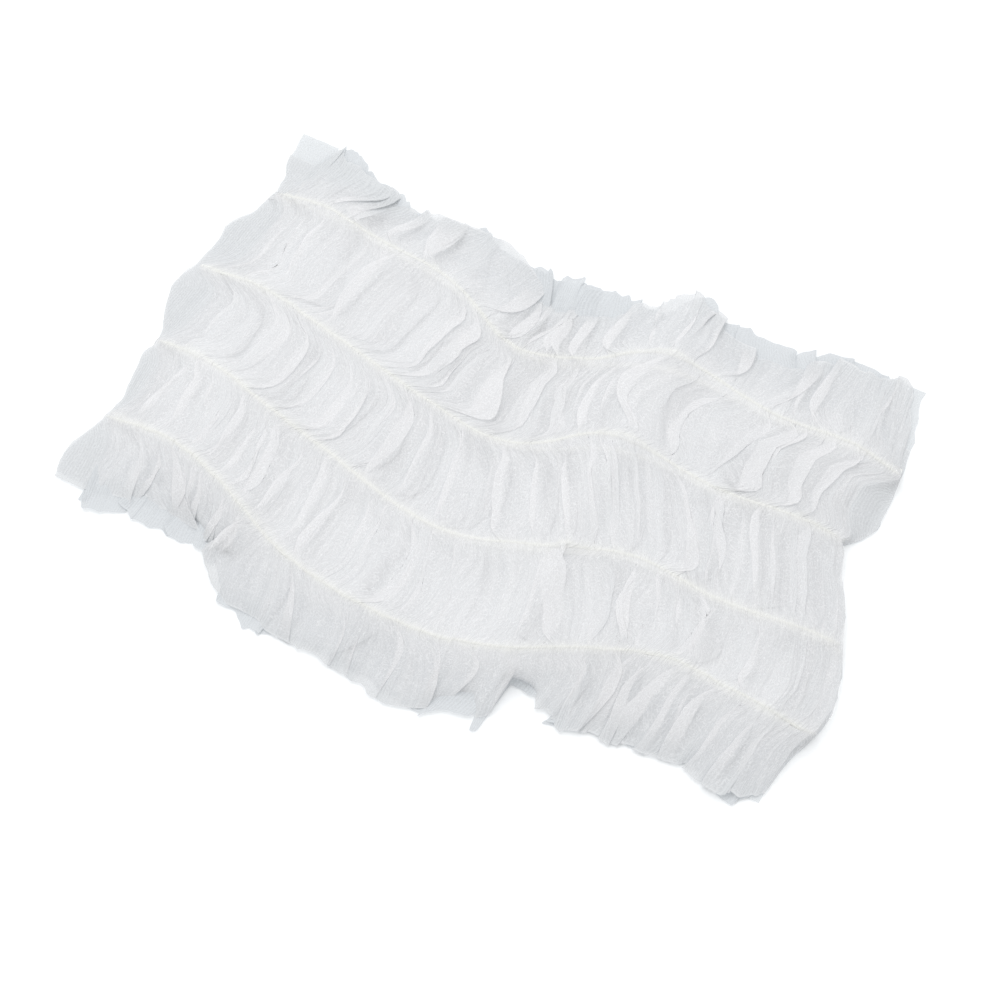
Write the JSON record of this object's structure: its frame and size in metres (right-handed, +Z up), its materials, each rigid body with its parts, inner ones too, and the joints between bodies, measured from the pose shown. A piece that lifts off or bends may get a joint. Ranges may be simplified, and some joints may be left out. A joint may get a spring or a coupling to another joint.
{
  "type": "disposable headband",
  "caption": "Flattened loop of sheer gathered nonwoven, drawn together by rows of thin elastic, with ruffled edges and flat welded ends.",
  "frame": {"origin": "middle of the box's underside, on the surface that the headband lies on", "axes": "+X along the elastic rows to the right end, +Y across the rows to the top edge, +Z up from the surface"},
  "size_m": [0.2374, 0.1622, 0.0213],
  "materials": {
    "nonwoven": "white sheer spunlace nonwoven, matte, finely creped",
    "welded_margin": "flat sheer nonwoven, two layers welded, matte",
    "elastic": "cream covered elastic thread, matte"
  },
  "bodies": {
    "root": {"front_panel": "nonwoven", "back_panel": "nonwoven", "left_seam": "welded_margin", "right_seam": "welded_margin", "front_elastic_1": "elastic", "front_elastic_2": "elastic", "front_elastic_3": "elastic", "front_elastic_4": "elastic", "back_elastic_1": "elastic", "back_elastic_2": "elastic", "back_elastic_3": "elastic", "back_elastic_4": "elastic"}
  },
  "joints": []
}
